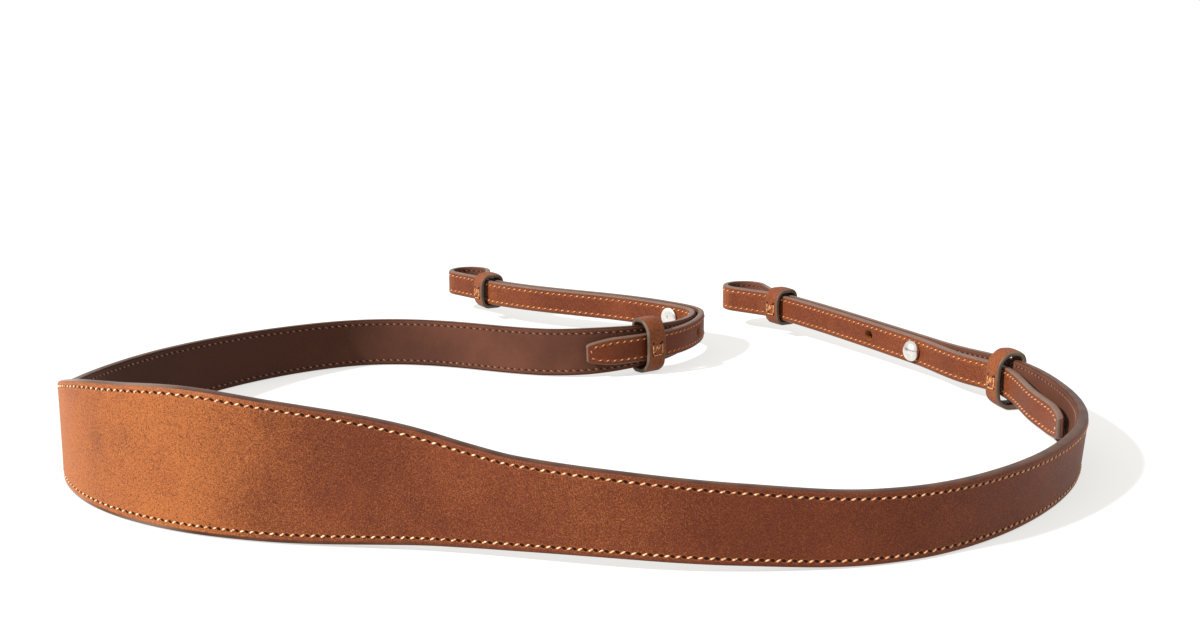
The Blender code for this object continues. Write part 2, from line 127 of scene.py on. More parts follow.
# the route seen from above: span, share of it, heading in degrees
bends = [
    ("left end", 1.00, -66), ("left end", 0.85, -38), ("left end", 0.42, -22), ("left end", 0.06, -37),
    ("left half", 1.00, -40), ("left half", 0.985, -49), ("left half", 0.96, -92),
    ("left half", 0.91, -118), ("left half", 0.85, -146), ("left half", 0.76, -192),
    ("left half", 0.70, -204), ("left half", 0.645, -194), ("left half", 0.545, -148),
    ("left half", 0.435, -124), ("left half", 0.285, -99), ("left half", 0.22, -84),
    ("left half", 0.125, -56), ("left half", 0.03, -30),
    ("right half", 0.10, -8), ("right half", 0.225, -17), ("right half", 0.33, 0), ("right half", 0.42, 12),
    ("right half", 0.505, 37), ("right half", 0.66, 63), ("right half", 0.77, 88), ("right half", 0.87, 102),
    ("right half", 0.95, 119), ("right end", 1.00, 121),
]
padTaper = [
    (0.00, 1.00), (0.06, 0.91), (0.10, 0.81), (0.14, 0.66), (0.18, 0.46), (0.215, 0.32),
    (0.27, 0.22), (0.37, 0.13), (0.45, 0.07), (0.52, 0.03), (0.62, 0.00),
]
tipShape = [(0.00, 0.0), (0.12, 0.3), (1.00, 1.0)]
tailParting = {
    "left": [(0.00, 0.18), (0.30, 0.03), (0.70, 0.0), (1.00, 0.10)],
    "right": [(0.00, 0.18), (0.25, 0.85), (0.452, 0.03), (0.74, 0.66), (1.00, 0.05)],
}
nearArch = [(0.06, 0.0), (0.175, 0.55), (0.27, 1.0), (0.35, 0.55), (0.43, 0.0)]
corner = [(0.49, 0.0), (0.68, 1.0), (0.76, 0.9), (0.85, 0.0)]


def smoothThrough(rows):
    # a smooth curve through (place, value) rows that never overshoots them
    places, values = np.array(sorted(rows), dtype=float).T
    steps = np.diff(places)
    slopes = np.diff(values) / steps
    tangents = np.zeros(len(places))
    for i in range(1, len(places) - 1):
        before, after = slopes[i - 1], slopes[i]
        if before * after > 0:
            weightBefore = steps[i - 1] + 2 * steps[i]
            weightAfter = 2 * steps[i - 1] + steps[i]
            tangents[i] = (weightBefore + weightAfter) / (weightBefore / before + weightAfter / after)

    def value(at):
        at = np.clip(at, places[0], places[-1])
        i = np.clip(np.searchsorted(places, at) - 1, 0, len(steps) - 1)
        t = (at - places[i]) / steps[i]
        return (
            values[i] * (1 + 2 * t) * (1 - t) ** 2
            + values[i + 1] * (3 - 2 * t) * t**2
            + steps[i] * (tangents[i] * t * (1 - t) ** 2 - tangents[i + 1] * (1 - t) * t**2)
        )

    return value


half = strap["padToStud"]
reach = {side: half + strap["studToLoop"][side] for side in sides}
spans = {
    "left end": (-half, -strap["studToLoop"]["left"]),
    "left half": (0, -half),
    "right half": (0, half),
    "right end": (half, strap["studToLoop"]["right"]),
}
keeperPlaces = {}
shoulder = {}
thinned = {}
for side, sign in sides.items():
    byLoop = reach[side] - keeper["length"] / 2
    keeperPlaces[side] = (sign * (half - strap["studToKeeper"][side]), sign * byLoop)
    keeperStart = half - strap["studToKeeper"][side] - keeper["length"] / 2
    shoulder[side] = (keeperStart - strap["shoulderToKeeper"], half - strap["studToShoulder"])
    thinned[side] = keeperStart + keeper["length"]

headingAt = smoothThrough([(spans[s][0] + share * spans[s][1], math.radians(a)) for s, share, a in bends])
wideningAt = smoothThrough([(share * half, w) for share, w in padTaper])
leanAt = smoothThrough([(share * half, w * math.tan(strap["cornerLean"])) for share, w in corner])
archAt = smoothThrough([(share * half, w * strap["archLift"]) for share, w in nearArch])
tipAt = smoothThrough([(share * strap["tip"], w) for share, w in tipShape])
narrowingAt = {s: smoothThrough([(start, 0), (end, 1)]) for s, (start, end) in shoulder.items()}
thinningAt = {s: smoothThrough([(end - strap["paring"], 0), (end, 1)]) for s, end in thinned.items()}


def bySide(functions, place):
    distance = np.abs(place)
    return np.where(np.asarray(place) > 0, functions["right"](distance), functions["left"](distance))


def padWidthAt(place):
    return strap["bandWidth"] + (strap["padWidth"] - strap["bandWidth"]) * wideningAt(np.abs(place))


def widthAt(place):
    return padWidthAt(place) - (strap["bandWidth"] - strap["endWidth"]) * bySide(narrowingAt, place)


def thicknessAt(layer, place):
    band, end = strap[layer]
    return band + (end - band) * bySide(thinningAt, place)


def keeperHalfHeight(place):
    ends = widthAt(np.array([place - keeper["length"] / 2, place + keeper["length"] / 2]))
    return float(ends.max()) / 2 + keeper["fit"]


riseAt = {}
for side in sides:
    byPad = keeperPlaces[side][0]
    standing = max(0, keeperHalfHeight(byPad) + keeper["wall"] - strap["bandWidth"] / 2)
    rows = [(strap["landing"] * half, 0), (abs(byPad) - keeper["length"] / 2, standing)]
    rows += [(abs(byPad) + keeper["length"] / 2, standing), (reach[side], strap["endRise"])]
    riseAt[side] = smoothThrough(rows)


def middleAt(place):
    return padWidthAt(place) / 2 + archAt(place) + bySide(riseAt, place)


def leftOf(heading):
    return np.stack([-np.sin(heading), np.cos(heading)], axis=-1)


def forwardOf(heading):
    return np.stack([np.cos(heading), np.sin(heading)], axis=-1)


step = 0.0005
bandPlan, bandPlace = [np.zeros((1, 2))], [np.zeros(1)]
for side, sign in sides.items():
    places = sign * np.linspace(0, reach[side], math.ceil(reach[side] / step) + 1)
    middles = (places[1:] + places[:-1]) / 2
    plan = np.cumsum(np.diff(places)[:, None] * forwardOf(headingAt(middles)), axis=0)
    if sign < 0:
        bandPlan.insert(0, plan[::-1])
        bandPlace.insert(0, places[:0:-1])
    else:
        bandPlan.append(plan)
        bandPlace.append(places[1:])
bandPlan, bandPlace = np.concatenate(bandPlan), np.concatenate(bandPlace)
bandHeading = headingAt(bandPlace)


def standOff(side, place):
    # how far the doubled end stands off the band, from glue line to glue line
    tail = strap["studToTip"][side]
    partingAt = smoothThrough([(share * tail, part * strap["parting"]) for share, part in tailParting[side]])
    pastStud = half - np.abs(place)
    atStud = stud["flange"] + 2 * stud["fit"] - strap["doubledGap"] - partingAt(0)
    gapByStud = smoothThrough([(0, atStud), (strap["studReach"], 0)])
    closing = np.maximum(0, 1 + np.minimum(pastStud, 0) / strap["studToLoop"][side]) ** 3
    linings = thicknessAt("lining", place) + strap["lining"][1]
    parting = closing * partingAt(pastStud) + gapByStud(np.abs(pastStud))
    return strap["glue"] + linings + strap["doubledGap"] + parting


def loopOutline(across):
    # a teardrop from (0, 0), out along x round the lug and back to (0, across)
    bulge = loop["radius"] * math.cos(loop["flare"]) - across / 2
    straight = (bulge - loop["neckRadius"] * (1 - math.cos(loop["flare"]))) / math.sin(loop["flare"])
    neck = (loop["neckRadius"] * loop["flare"], -loop["flare"])
    bow = (loop["radius"] * (math.pi + 2 * loop["flare"]), math.pi + 2 * loop["flare"])
    points, point, heading = [], np.zeros(2), 0.0
    for length, turn in (neck, (straight, 0), bow, (straight, 0), neck):
        count = math.ceil(length / step)
        for i in range(count):
            chord = length / count
            if turn:
                chord *= math.sin(turn / count / 2) / (turn / count / 2)
            point = point + chord * forwardOf(heading + turn / count / 2)
            heading += turn / count
            points.append(point)
    return np.array(points)


def layEnd(side):
    # one end beyond the band: plan points, places beside them and widths, from the loop to the tip
    sign, root = sides[side], sides[side] * reach[side]
    at = -1 if sign > 0 else 0
    outward, across = sign * forwardOf(bandHeading[at]), leftOf(bandHeading[at])
    outline = loopOutline(float(standOff(side, root)))
    plan = bandPlan[at] + outline[:, :1] * outward + outline[:, 1:] * across
    keep = bandPlace * sign > 0
    places, plans, headings = (rows[keep][::-sign] for rows in (bandPlace, bandPlan, bandHeading))
    tail = plans + standOff(side, places)[:, None] * leftOf(headings)
    runs = np.concatenate([[0], np.cumsum(np.linalg.norm(np.diff(tail, axis=0), axis=1))])
    pastStud = runs - np.interp(strap["studToLoop"][side], reach[side] - np.abs(places), runs)
    last = pastStud <= strap["studToTip"][side]
    last[0] = False
    widening = tipAt(strap["studToTip"][side] - pastStud[last])
    width = strap["tipWidth"] + (strap["endWidth"] - strap["tipWidth"]) * widening
    return {
        "plan": np.concatenate([plan, tail[last]]),
        "middle": middleAt(np.concatenate([np.full(len(plan), root), places[last]])),
        "width": np.concatenate([np.full(len(plan), strap["endWidth"]), width]),
        "pastStud": np.concatenate([np.full(len(plan), -1.0), pastStud[last]]),
    }


ends = {side: layEnd(side) for side in sides}
band = {"plan": bandPlan, "middle": middleAt(bandPlace), "width": widthAt(bandPlace)}
route = {}
for key in ("plan", "middle", "width"):
    route[key] = np.concatenate([ends["left"][key][::-1], band[key], ends["right"][key]])
leftCount, rightCount = len(ends["left"]["middle"]), len(ends["right"]["middle"])
place = np.concatenate([np.full(leftCount, -reach["left"]), bandPlace, np.full(rightCount, reach["right"])])
route["lean"] = np.concatenate([np.zeros(leftCount), leanAt(np.abs(bandPlace)), np.zeros(rightCount)])
route["grain"] = thicknessAt("grain", place)
route["lining"] = thicknessAt("lining", place)
route["along"] = np.concatenate([[0], np.cumsum(np.linalg.norm(np.diff(route["plan"], axis=0), axis=1))])
wholeLength = route["along"][-1]
bandStart = route["along"][leftCount] - bandPlace[0]  # distance from the left tip to the pad's middle
tangent = np.gradient(route["plan"], axis=0)
route["heading"] = np.unwrap(np.arctan2(tangent[:, 1], tangent[:, 0]))

# the outline's middle goes where the CAD's is
outer = route["plan"] - (strap["glue"] / 2 + route["grain"])[:, None] * leftOf(route["heading"])
nodeLow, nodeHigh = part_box("strap_leather")
shift = (np.array([(nodeLow + nodeHigh)[:2]]) - outer.min(axis=0) - outer.max(axis=0)) / 2
route["plan"] = route["plan"] + shift
bandPlan = bandPlan + shift


def routeAt(key, along):
    return np.interp(along, route["along"], route[key])


print(f"route laid: {wholeLength:.3f} m of strap")


def padLowerAt(along):
    return stitching["padLower"] * wideningAt(np.abs(along - bandStart))


def rowRing():
    # the stitched row, all round the straight strap: (along, up) every 0.1 mm, clockwise from the left tip
    inset, fillet = stitching["fromEdge"], stitching["cornerRadius"]
    along = np.arange(inset, wholeLength - inset, 0.1 * mm)
    toTip = np.minimum(along, wholeLength - along) - inset
    turned = np.clip(1 - toTip / fillet, 0, 1)
    height = np.maximum(routeAt("width", along) / 2 - inset, 0) - fillet * (1 - np.sqrt(1 - turned**2))
    upper = np.column_stack([along, height])
    lower = np.column_stack([along, padLowerAt(along) - height])
    ring = np.concatenate([upper, lower[::-1], upper[:1]])
    gaps = np.concatenate([[0], np.cumsum(np.linalg.norm(np.diff(ring, axis=0), axis=1))])
    return ring, gaps


rowPath, rowRun = rowRing()
stitchCount = round(rowRun[-1] / stitching["pitch"])
rowPitch = rowRun[-1] / stitchCount


def rowPlaceOf(along, up):
    # how far round the row the nearest of its points lies, and how far inwards of it this place is
    count = len(rowPath) // 2
    top, below = rowPath[:count], rowPath[count : 2 * count][::-1]
    above = np.interp(along, top[:, 0], rowRun[:count])
    under = np.interp(along, below[:, 0], rowRun[count : 2 * count][::-1])
    height = np.interp(along, top[:, 0], top[:, 1])
    upper = up > 0
    return np.where(upper, above, under), height - np.abs(up) - np.where(upper, 0, padLowerAt(along))


def linked(name, data):
    new = bpy.data.objects.new(name, data)
    bpy.context.scene.collection.objects.link(new)
    return new


def addRouteCurve():
    leanShift = (route["lean"] * route["width"] / 2)[:, None] * leftOf(route["heading"])
    plan = route["plan"] - leanShift
    data = bpy.data.curves.new("strapRoute", "CURVE")
    data.dimensions = "3D"
    data.twist_mode = "Z_UP"
    spline = data.splines.new("POLY")
    spline.points.add(len(plan) - 1)
    rows = np.column_stack([plan, route["middle"], np.ones(len(plan))])
    spline.points.foreach_set("co", rows.ravel())
    spline.points.foreach_set("tilt", np.arctan(route["lean"]))
    return linked("strapRoute", data)


routeCurve = addRouteCurve()


# small helpers for work in the viewport's way


def only(piece):
    bpy.ops.object.select_all(action="DESELECT")
    piece.select_set(True)
    bpy.context.view_layer.objects.active = piece


def added(operator, **settings):
    # a new primitive, with nothing else selected
    bpy.ops.object.select_all(action="DESELECT")
    operator(**settings)
    return bpy.context.object


def edit(piece, *steps):
    # runs operators on everything in a piece, in edit mode
    only(piece)
    bpy.ops.object.mode_set(mode="EDIT")
    bpy.ops.mesh.select_all(action="SELECT")
    for operator, settings in steps:
        operator(**settings)
    bpy.ops.object.mode_set(mode="OBJECT")


merged = (bpy.ops.mesh.remove_doubles, {"threshold": 1e-6})
outwards = (bpy.ops.mesh.normals_make_consistent, {"inside": False})


def modify(piece, kind, **settings):
    # adds one modifier and applies it
    modifier = piece.modifiers.new(kind, kind)
    for key, value in settings.items():
        setattr(modifier, key, value)
    only(piece)
    bpy.ops.object.modifier_apply(modifier=kind)


def cutAway(piece, cutter):
    modify(piece, "BOOLEAN", object=cutter, solver="EXACT")
    bpy.data.objects.remove(cutter)


def readPoints(piece):
    points = np.zeros(len(piece.data.vertices) * 3)
    piece.data.vertices.foreach_get("co", points)
    return points.reshape(-1, 3)


def writePoints(piece, points):
    piece.data.vertices.foreach_set("co", points.ravel())
    piece.data.update()


def storePlaces(piece, name, *columns):
    # three numbers on each point, which the materials read
    attribute = piece.data.attributes.new(name, "FLOAT_VECTOR", "POINT")
    attribute.data.foreach_set("vector", np.column_stack(columns).astype(np.float32).ravel())


def layAlongRoute(piece):
    modify(piece, "CURVE", object=routeCurve, deform_axis="POS_X")


def finishPiece(piece, name, materials, replaced=()):
    piece.name = name
    piece.data.name = name
    for material in materials:
        piece.data.materials.append(material)
    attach(piece, "root")
    if replaced:
        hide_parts(*replaced)
    return piece


# materials


def plug(tree, value, socket):
    # another node's output, or a constant, into a socket
    if isinstance(value, Val):
        tree.links.new(value.socket, socket)
    else:
        socket.default_value = value


class Val:
    # a shader socket that takes part in sums

    def __init__(self, tree, socket):
        self.tree, self.socket = tree, socket

    def math(self, operation, *others):
        node = self.tree.nodes.new("ShaderNodeMath")
        node.operation = operation
        for i, value in enumerate((self, *others)):
            plug(self.tree, value, node.inputs[i])
        return Val(self.tree, node.outputs[0])

    def __add__(self, other):
        return self.math("ADD", other)

    def __sub__(self, other):
        return self.math("SUBTRACT", other)

    def __mul__(self, other):
        return self.math("MULTIPLY", other)

    def __truediv__(self, other):
        return self.math("DIVIDE", other)

    def __rsub__(self, other):
        return (self * -1) + other

    __radd__, __rmul__ = __add__, __mul__

    def ramp(self, low, high):
        # 0 below low and 1 above high, smooth between
        node = self.tree.nodes.new("ShaderNodeMapRange")
        node.interpolation_type = "SMOOTHSTEP"
        for name, value in (("From Min", low), ("From Max", high), ("Value", self)):
            plug(self.tree, value, node.inputs[name])
        return Val(self.tree, node.outputs["Result"])


class Shader:
    # one material and the nodes that feed it

    def __init__(self, name, roughness, metallic=0.0, **constants):
        self.material = bpy.data.materials.new(name)
        self.material.use_nodes = True
        self.tree = self.material.node_tree
        self.surface = self.tree.nodes["Principled BSDF"]
        constants.update(Roughness=roughness, Metallic=metallic)
        for socket, value in constants.items():
            self.surface.inputs[socket.replace("_", " ")].default_value = value
        self.place = self.node("ShaderNodeTexCoord", "Object")

    def node(self, kind, output, settings=None, **inputs):
        node = self.tree.nodes.new(kind)
        for key, value in (settings or {}).items():
            setattr(node, key, value)
        for key, value in inputs.items():
            plug(self.tree, value, node.inputs[key.replace("_", " ")])
        return Val(self.tree, node.outputs[output])

    def noise(self, scale, detail=2.0, roughness=0.5):
        inputs = {"Scale": scale, "Detail": detail, "Roughness": roughness}
        return self.node("ShaderNodeTexNoise", "Fac", Vector=self.place, **inputs)

    def cells(self, scale):
        # the distance to the nearest of many scattered points
        return self.node("ShaderNodeTexVoronoi", "Distance", Vector=self.place, Scale=scale)

    def row(self, name="rowPlace"):
        # a place stored on the mesh's points, as three numbers
        vector = self.node("ShaderNodeAttribute", "Vector", {"attribute_name": name})
        split = self.tree.nodes.new("ShaderNodeSeparateXYZ")
        self.tree.links.new(vector.socket, split.inputs[0])
        return tuple(Val(self.tree, socket) for socket in split.outputs)

    def mix(self, factor, first, second):
        node = self.tree.nodes.new("ShaderNodeMix")
        node.data_type = "RGBA"
        for value, at in ((factor, 0), (first, 6), (second, 7)):
            plug(self.tree, (*value, 1) if isinstance(value, tuple) else value, node.inputs[at])
        return Val(self.tree, node.outputs[2])

    def feed(self, socket, value):
        self.tree.links.new(value.socket, self.surface.inputs[socket])

    def bump(self, height, distance, strength=1.0):
        inputs = {"Distance": distance, "Strength": strength, "Height": height}
        below = self.surface.inputs["Normal"].links
        if below:
            inputs["Normal"] = Val(self.tree, below[0].from_socket)
        self.feed("Normal", self.node("ShaderNodeBump", "Normal", **inputs))


def srgb(red, green, blue):
    # a colour given as it looks on screen, from 0 to 255
    channels = []
    for value in (red, green, blue):
        value /= 255
        channels.append(value / 12.92 if value <= 0.04045 else ((value + 0.055) / 1.055) ** 2.4)
    return tuple(channels)


leatherLook = {
    "golden": (0.270, 0.080, 0.0180),
    "brown": (0.082, 0.0160, 0.0055),
    "dark": (0.044, 0.0085, 0.0038),
    "red": (0.150, 0.0330, 0.0120),
    "fleck": (0.360, 0.118, 0.036),
    "paint": (0.070, 0.028, 0.014),
    "paintDark": (0.040, 0.015, 0.008),
    # pale paint on the narrow ends, also used as a painted highlight on the pad's left half
    "paintLight": (0.260, 0.185, 0.145),
    "tint": (0.100, 0.030, 0.016),
    "rawCut": (0.300, 0.080, 0.015),
    # near black inside the awl slits: painted shade in the cuts
    "hole": (0.0100, 0.0018, 0.0005),
    # each pattern's fineness, detail and roughness
    "drift": (22, 3, 0.5),
    "clouds": (75, 4, 0.6),
    "redder": (48, 2, 0.5),
    "pores": (1900, 3, 0.8),
    "flecks": (3000, 2, 0.7),
    "streaks": (160, 3),
    "ragged": (700, 2),
    "specks": 420,
    # how strongly each shows; pores and flecks: anywhere, and how much more on golden leather
    "drifting": 0.75,
    "cloudy": (0.40, 0.20),  # in the colour's warmth, and where clouds are darkest
    "reddish": 0.35,
    "porous": (0.52, 0.34),
    "flecked": (0.20, 0.62),
    "specked": 0.25,
    # the painted edge, in metres from the strap's edge
    "wobble": 0.25 * mm,
    "paintSoft": 0.14 * mm,
    "lowerPaint": (1.10 * mm, 1.45 * mm),  # along the pad's lower edge
    "endPaint": 0.25 * mm,  # how much further in the paint reaches on the narrow ends
    "tintWidth": (0.10 * mm, 0.75 * mm),  # past the paint
    "tinted": 0.35,
}

# the awl's slits between the stitches
slit = {"length": 0.00130, "width": 0.00084, "lean": math.radians(18), "ragged": 2600}


def stitchSlits(shader, scale=1.0):
    # 1 inside the awl's slits between the stitches, and a wider ring round each
    run, inwards, _ = shader.row("stitchRow")
    between = ((run / rowPitch).math("FRACT") - 0.5) * rowPitch
    ragged = (shader.noise(slit["ragged"], 1) - 0.5) * 0.5
    long = between * math.cos(slit["lean"]) + inwards * math.sin(slit["lean"])
    wide = inwards * math.cos(slit["lean"]) - between * math.sin(slit["lean"])
    long = (long / (slit["length"] / 2 * scale)).math("POWER", 2)
    wide = (wide / (slit["width"] / 2 * scale)).math("POWER", 2)
    distance = (long + wide).math("SQRT") + ragged
    return 1 - distance.ramp(0.75, 1.15), 1 - distance.ramp(1.0, 2.0)


def leatherMaterial(name, look, paintWidth, slits=True, golden=0.0):
    shader = Shader(name, 0.5, Specular_IOR_Level=0.13)
    along, fromEdge, stretch = shader.row()
    names = ("drift", "clouds", "redder", "pores", "flecks", "streaks", "ragged")
    drift, clouds, redder, pores, fine, streaks, ragged = (shader.noise(*look[name]) for name in names)
    warmer, darker = look["cloudy"]
    warm = stretch + golden + (drift - 0.5) * look["drifting"] + (clouds - 0.5) * warmer
    colour = shader.mix(warm.ramp(0.0, 1.1), look["brown"], look["golden"])
    colour = shader.mix((1 - clouds.ramp(0.30, 0.50)) * darker, colour, look["dark"])
    colour = shader.mix(redder.ramp(0.45, 0.70) * look["reddish"], colour, look["red"])
    # short worm-like pores and the paler leather between them
    much, onGolden = look["porous"]
    deep = warm.ramp(-0.1, 0.3) * onGolden + much
    colour = shader.mix((1 - pores.ramp(0.36, 0.52)) * deep, colour, look["dark"])
    much, onGolden = look["flecked"]
    pale = fine.ramp(0.48, 0.62) * (warm.ramp(-0.2, 0.9) * onGolden + much)
    colour = shader.mix(pale, colour, look["fleck"])
    specks = 1 - shader.cells(look["specks"]).ramp(0.05, 0.11)
    colour = shader.mix(specks * look["specked"], colour, look["fleck"])
    # the painted edge, and the darker leather beside it
    edge = fromEdge + (ragged - 0.5) * look["wobble"]
    if slits:
        onEnds = (along - bandStart).math("ABSOLUTE").ramp(half - 0.060, half - 0.030)
        edge = edge - onEnds * look["endPaint"]
    soft = look["paintSoft"]
    painted = 1 - edge.ramp(paintWidth - soft, paintWidth + soft)
    paint = shader.mix(streaks.ramp(0.35, 0.7), look["paint"], look["paintDark"])
    if slits:
        _, _, lowerPad = shader.row("stitchRow")
        painted = painted.math("MAXIMUM", (1 - edge.ramp(*look["lowerPaint"])) * lowerPad)
        # paler paint on the narrow ends, and a painted highlight on the painted edges where the pad is most
        # golden, on its left half
        paleEndsAndHighlight = (stretch.ramp(0.70, 1.0) * 0.75).math("MAXIMUM", onEnds * 0.30)
        paint = shader.mix(paleEndsAndHighlight, paint, look["paintLight"])
    tinted = 1 - edge.ramp(*(paintWidth + width for width in look["tintWidth"]))
    colour = shader.mix(tinted * look["tinted"], colour, look["tint"])
    colour = shader.mix(painted, colour, paint)
    relief = pores * 0.7 + fine * 0.3
    shader.bump(relief * (1 - painted), 0.00006, 0.7)
    if slits:
        cut, rim = stitchSlits(shader)
        colour = shader.mix(rim * 0.45, colour, look["rawCut"])
        # the awl slits drawn near black: painted shade inside the cuts, fainter on the narrow ends
        colour = shader.mix(cut * (1 - onEnds * 0.85), colour, look["hole"])
        shader.bump(1 - cut, 0.0004, 1.0)
    shader.feed("Base Color", colour)
    shader.feed("Roughness", 0.50 + (clouds - 0.5) * 0.2 + pores * 0.10 - painted * 0.12)
    return shader.material


liningLook = {
    "light": (0.092, 0.0330, 0.0190),
    "dark": (0.064, 0.0235, 0.0140),
    # the colour of the painted shadow on the lining
    "shade": (0.040, 0.0150, 0.0090),
    "fleck": (0.130, 0.052, 0.032),
    # near black inside the awl slits: painted shade in the cuts
    "hole": (0.016, 0.006, 0.004),
    # painted shadow of the pad on the back run's lining: where it comes in and where it goes, left of the
    # pad's middle
    "shaded": ((0.09, 0.14), (0.21, 0.33)),  # left of the pad's middle: from where and to where
    "patches": (38, 4, 0.6),
    "fibres": (1500, 3, 0.7),
}


def liningMaterial():
    shader = Shader("liningLeather", 0.75, Specular_IOR_Level=0.08)
    along, _, _ = shader.row()
    leftward = along * -1 + bandStart
    comes, goes = liningLook["shaded"]
    paintedShadowBehindPad = leftward.ramp(*comes) * (1 - leftward.ramp(*goes))
    patches, fibres = (shader.noise(*liningLook[name]) for name in ("patches", "fibres"))
    colour = shader.mix(patches.ramp(0.35, 0.68), liningLook["light"], liningLook["dark"])
    # painted shadow: the lining is mixed towards its shade colour where the pad's shadow falls on it
    colour = shader.mix(paintedShadowBehindPad * 0.85, colour, liningLook["shade"])
    colour = shader.mix(fibres.ramp(0.52, 0.75) * 0.20, colour, liningLook["fleck"])
    cut, _ = stitchSlits(shader, 0.7)
    # the awl slits drawn near black: painted shade inside the cuts
    colour = shader.mix(cut * 0.9, colour, liningLook["hole"])
    shader.feed("Base Color", colour)
    shader.bump(fibres, 0.00008, 0.7)
    shader.bump(1 - cut, 0.0003, 1.0)
    return shader.material


def rawMaterial(name, pale, deep):
    shader = Shader(name, 0.85, Specular_IOR_Level=0.15)
    fibres = shader.noise(1400, 4, 0.7)
    shader.feed("Base Color", shader.mix(fibres.ramp(0.4, 0.65), deep, pale))
    shader.bump(fibres, 0.00015, 0.9)
    return shader.material


def threadMaterial(name, pale, deep):
    shader = Shader(name, 0.5, Specular_IOR_Level=0.4)
    # the stored darkening of the thread: painted shade where the strap lies in shade, and a tone that varies
    # from stitch to stitch
    worn, _, _ = shader.row("threadWear")
    strands = shader.noise(1900, 2).ramp(0.42, 0.66)
    shader.feed("Base Color", shader.mix(worn, shader.mix(strands, pale, deep), deep))
    shader.bump(shader.noise(5200, 2), 0.00008, 0.8)
    return shader.material


def nickelMaterial(name, roughness):
    shader = Shader(name, roughness, 1.0)
    darkening = shader.noise(420, 3).ramp(0.3, 0.75)
    shader.feed("Base Color", shader.mix(darkening, srgb(232, 229, 224), srgb(205, 201, 195)))
    shader.feed("Roughness", darkening * 0.08 + roughness)
    return shader.material


grainLeather = leatherMaterial("grainLeather", leatherLook, 0.28 * mm)
keeperLook = dict(leatherLook, paint=(0.108, 0.074, 0.052), paintDark=(0.070, 0.047, 0.033))
keeperLeather = leatherMaterial("keeperLeather", keeperLook, 0.45 * mm, slits=False, golden=0.25)
liningLeather = liningMaterial()
rawLeather = rawMaterial("rawLeather", (0.34, 0.115, 0.022), (0.20, 0.060, 0.014))
# near black for the keepers' awl holes: painted shade inside the holes
darkHole = rawMaterial("darkHole", (0.010, 0.005, 0.004), (0.016, 0.008, 0.006))
paleThread = threadMaterial("paleThread", (0.82, 0.54, 0.31), (0.34, 0.120, 0.040))
brownThread = threadMaterial("brownThread", (0.230, 0.105, 0.058), (0.085, 0.032, 0.018))
seamThread = threadMaterial("seamThread", (0.560, 0.270, 0.105), (0.240, 0.080, 0.024))
polishedNickel = nickelMaterial("polishedNickel", 0.20)
screwNickel = nickelMaterial("screwNickel", 0.30)
print("materials made")


# the strap's layers: sections as (in from the edge in mm, share of the layer's height) from the edge inwards

grainSection = {
    "rim": [
        (0.60, -0.10), (0.22, -0.80), (0.06, -0.62), (0.0, -0.25), (0.0, 0.20), (0.07, 0.58), (0.26, 0.85),
    ],
    "face": [(0.60, 0.97), (1.10, 1.0), (1.65, 0.99), (2.1, 0.91), (2.55, 0.99), (3.1, 1.0)],
    "shares": (0.6, 0.3),  # of what is left to the middle
}
liningSection = {
    "rim": [(0.40, 0.05), (0.38, 0.62), (0.50, 0.92)],
    "face": [(0.85, 1.0), (1.65, 0.99), (2.1, 0.92), (2.55, 0.99), (3.1, 1.0)],
    "shares": (0.6, 0.3),
}


def columnPlaces():
    # closer where the strap turns and towards its blunt tips
    turn = np.abs(np.gradient(route["heading"], route["along"]))
    places, at = [0.0], 0.0
    while at < wholeLength:
        toTip = min(at, wholeLength - at)
        turning = max(float(np.interp(at, route["along"], turn)), 1.0)
        at += min(0.0017, math.radians(6) / turning, 0.0002 + 0.16 * toTip)
        places.append(min(at, wholeLength))
    return np.array(places)


columns = columnPlaces()
goldenPad = [  # distance from the pad's middle, how golden
    (-0.790, -0.30), (-0.640, -0.25), (-0.560, 0.05), (-0.160, 0.0), (-0.105, 0.72), (-0.075, 1.12),
    (-0.055, 0.95), (-0.034, 0.70), (-0.015, 0.82), (0.008, 0.64), (0.045, 0.18), (0.080, 0.10),
    (0.115, 0.10), (0.150, -0.12), (0.210, -0.06), (0.300, 0.10), (0.420, 0.02), (0.560, 0.05),
]


def stretchAt(along):
    # pull-up leather goes paler and golden where it is worked: the pad's left half, less towards the right
    fromMiddle = along - bandStart
    golden = smoothThrough(goldenPad)(fromMiddle)
    turn = np.abs(np.interp(along, route["along"], np.gradient(route["heading"], route["along"])))
    return golden + 0.20 * np.clip(turn / 60, 0, 1)


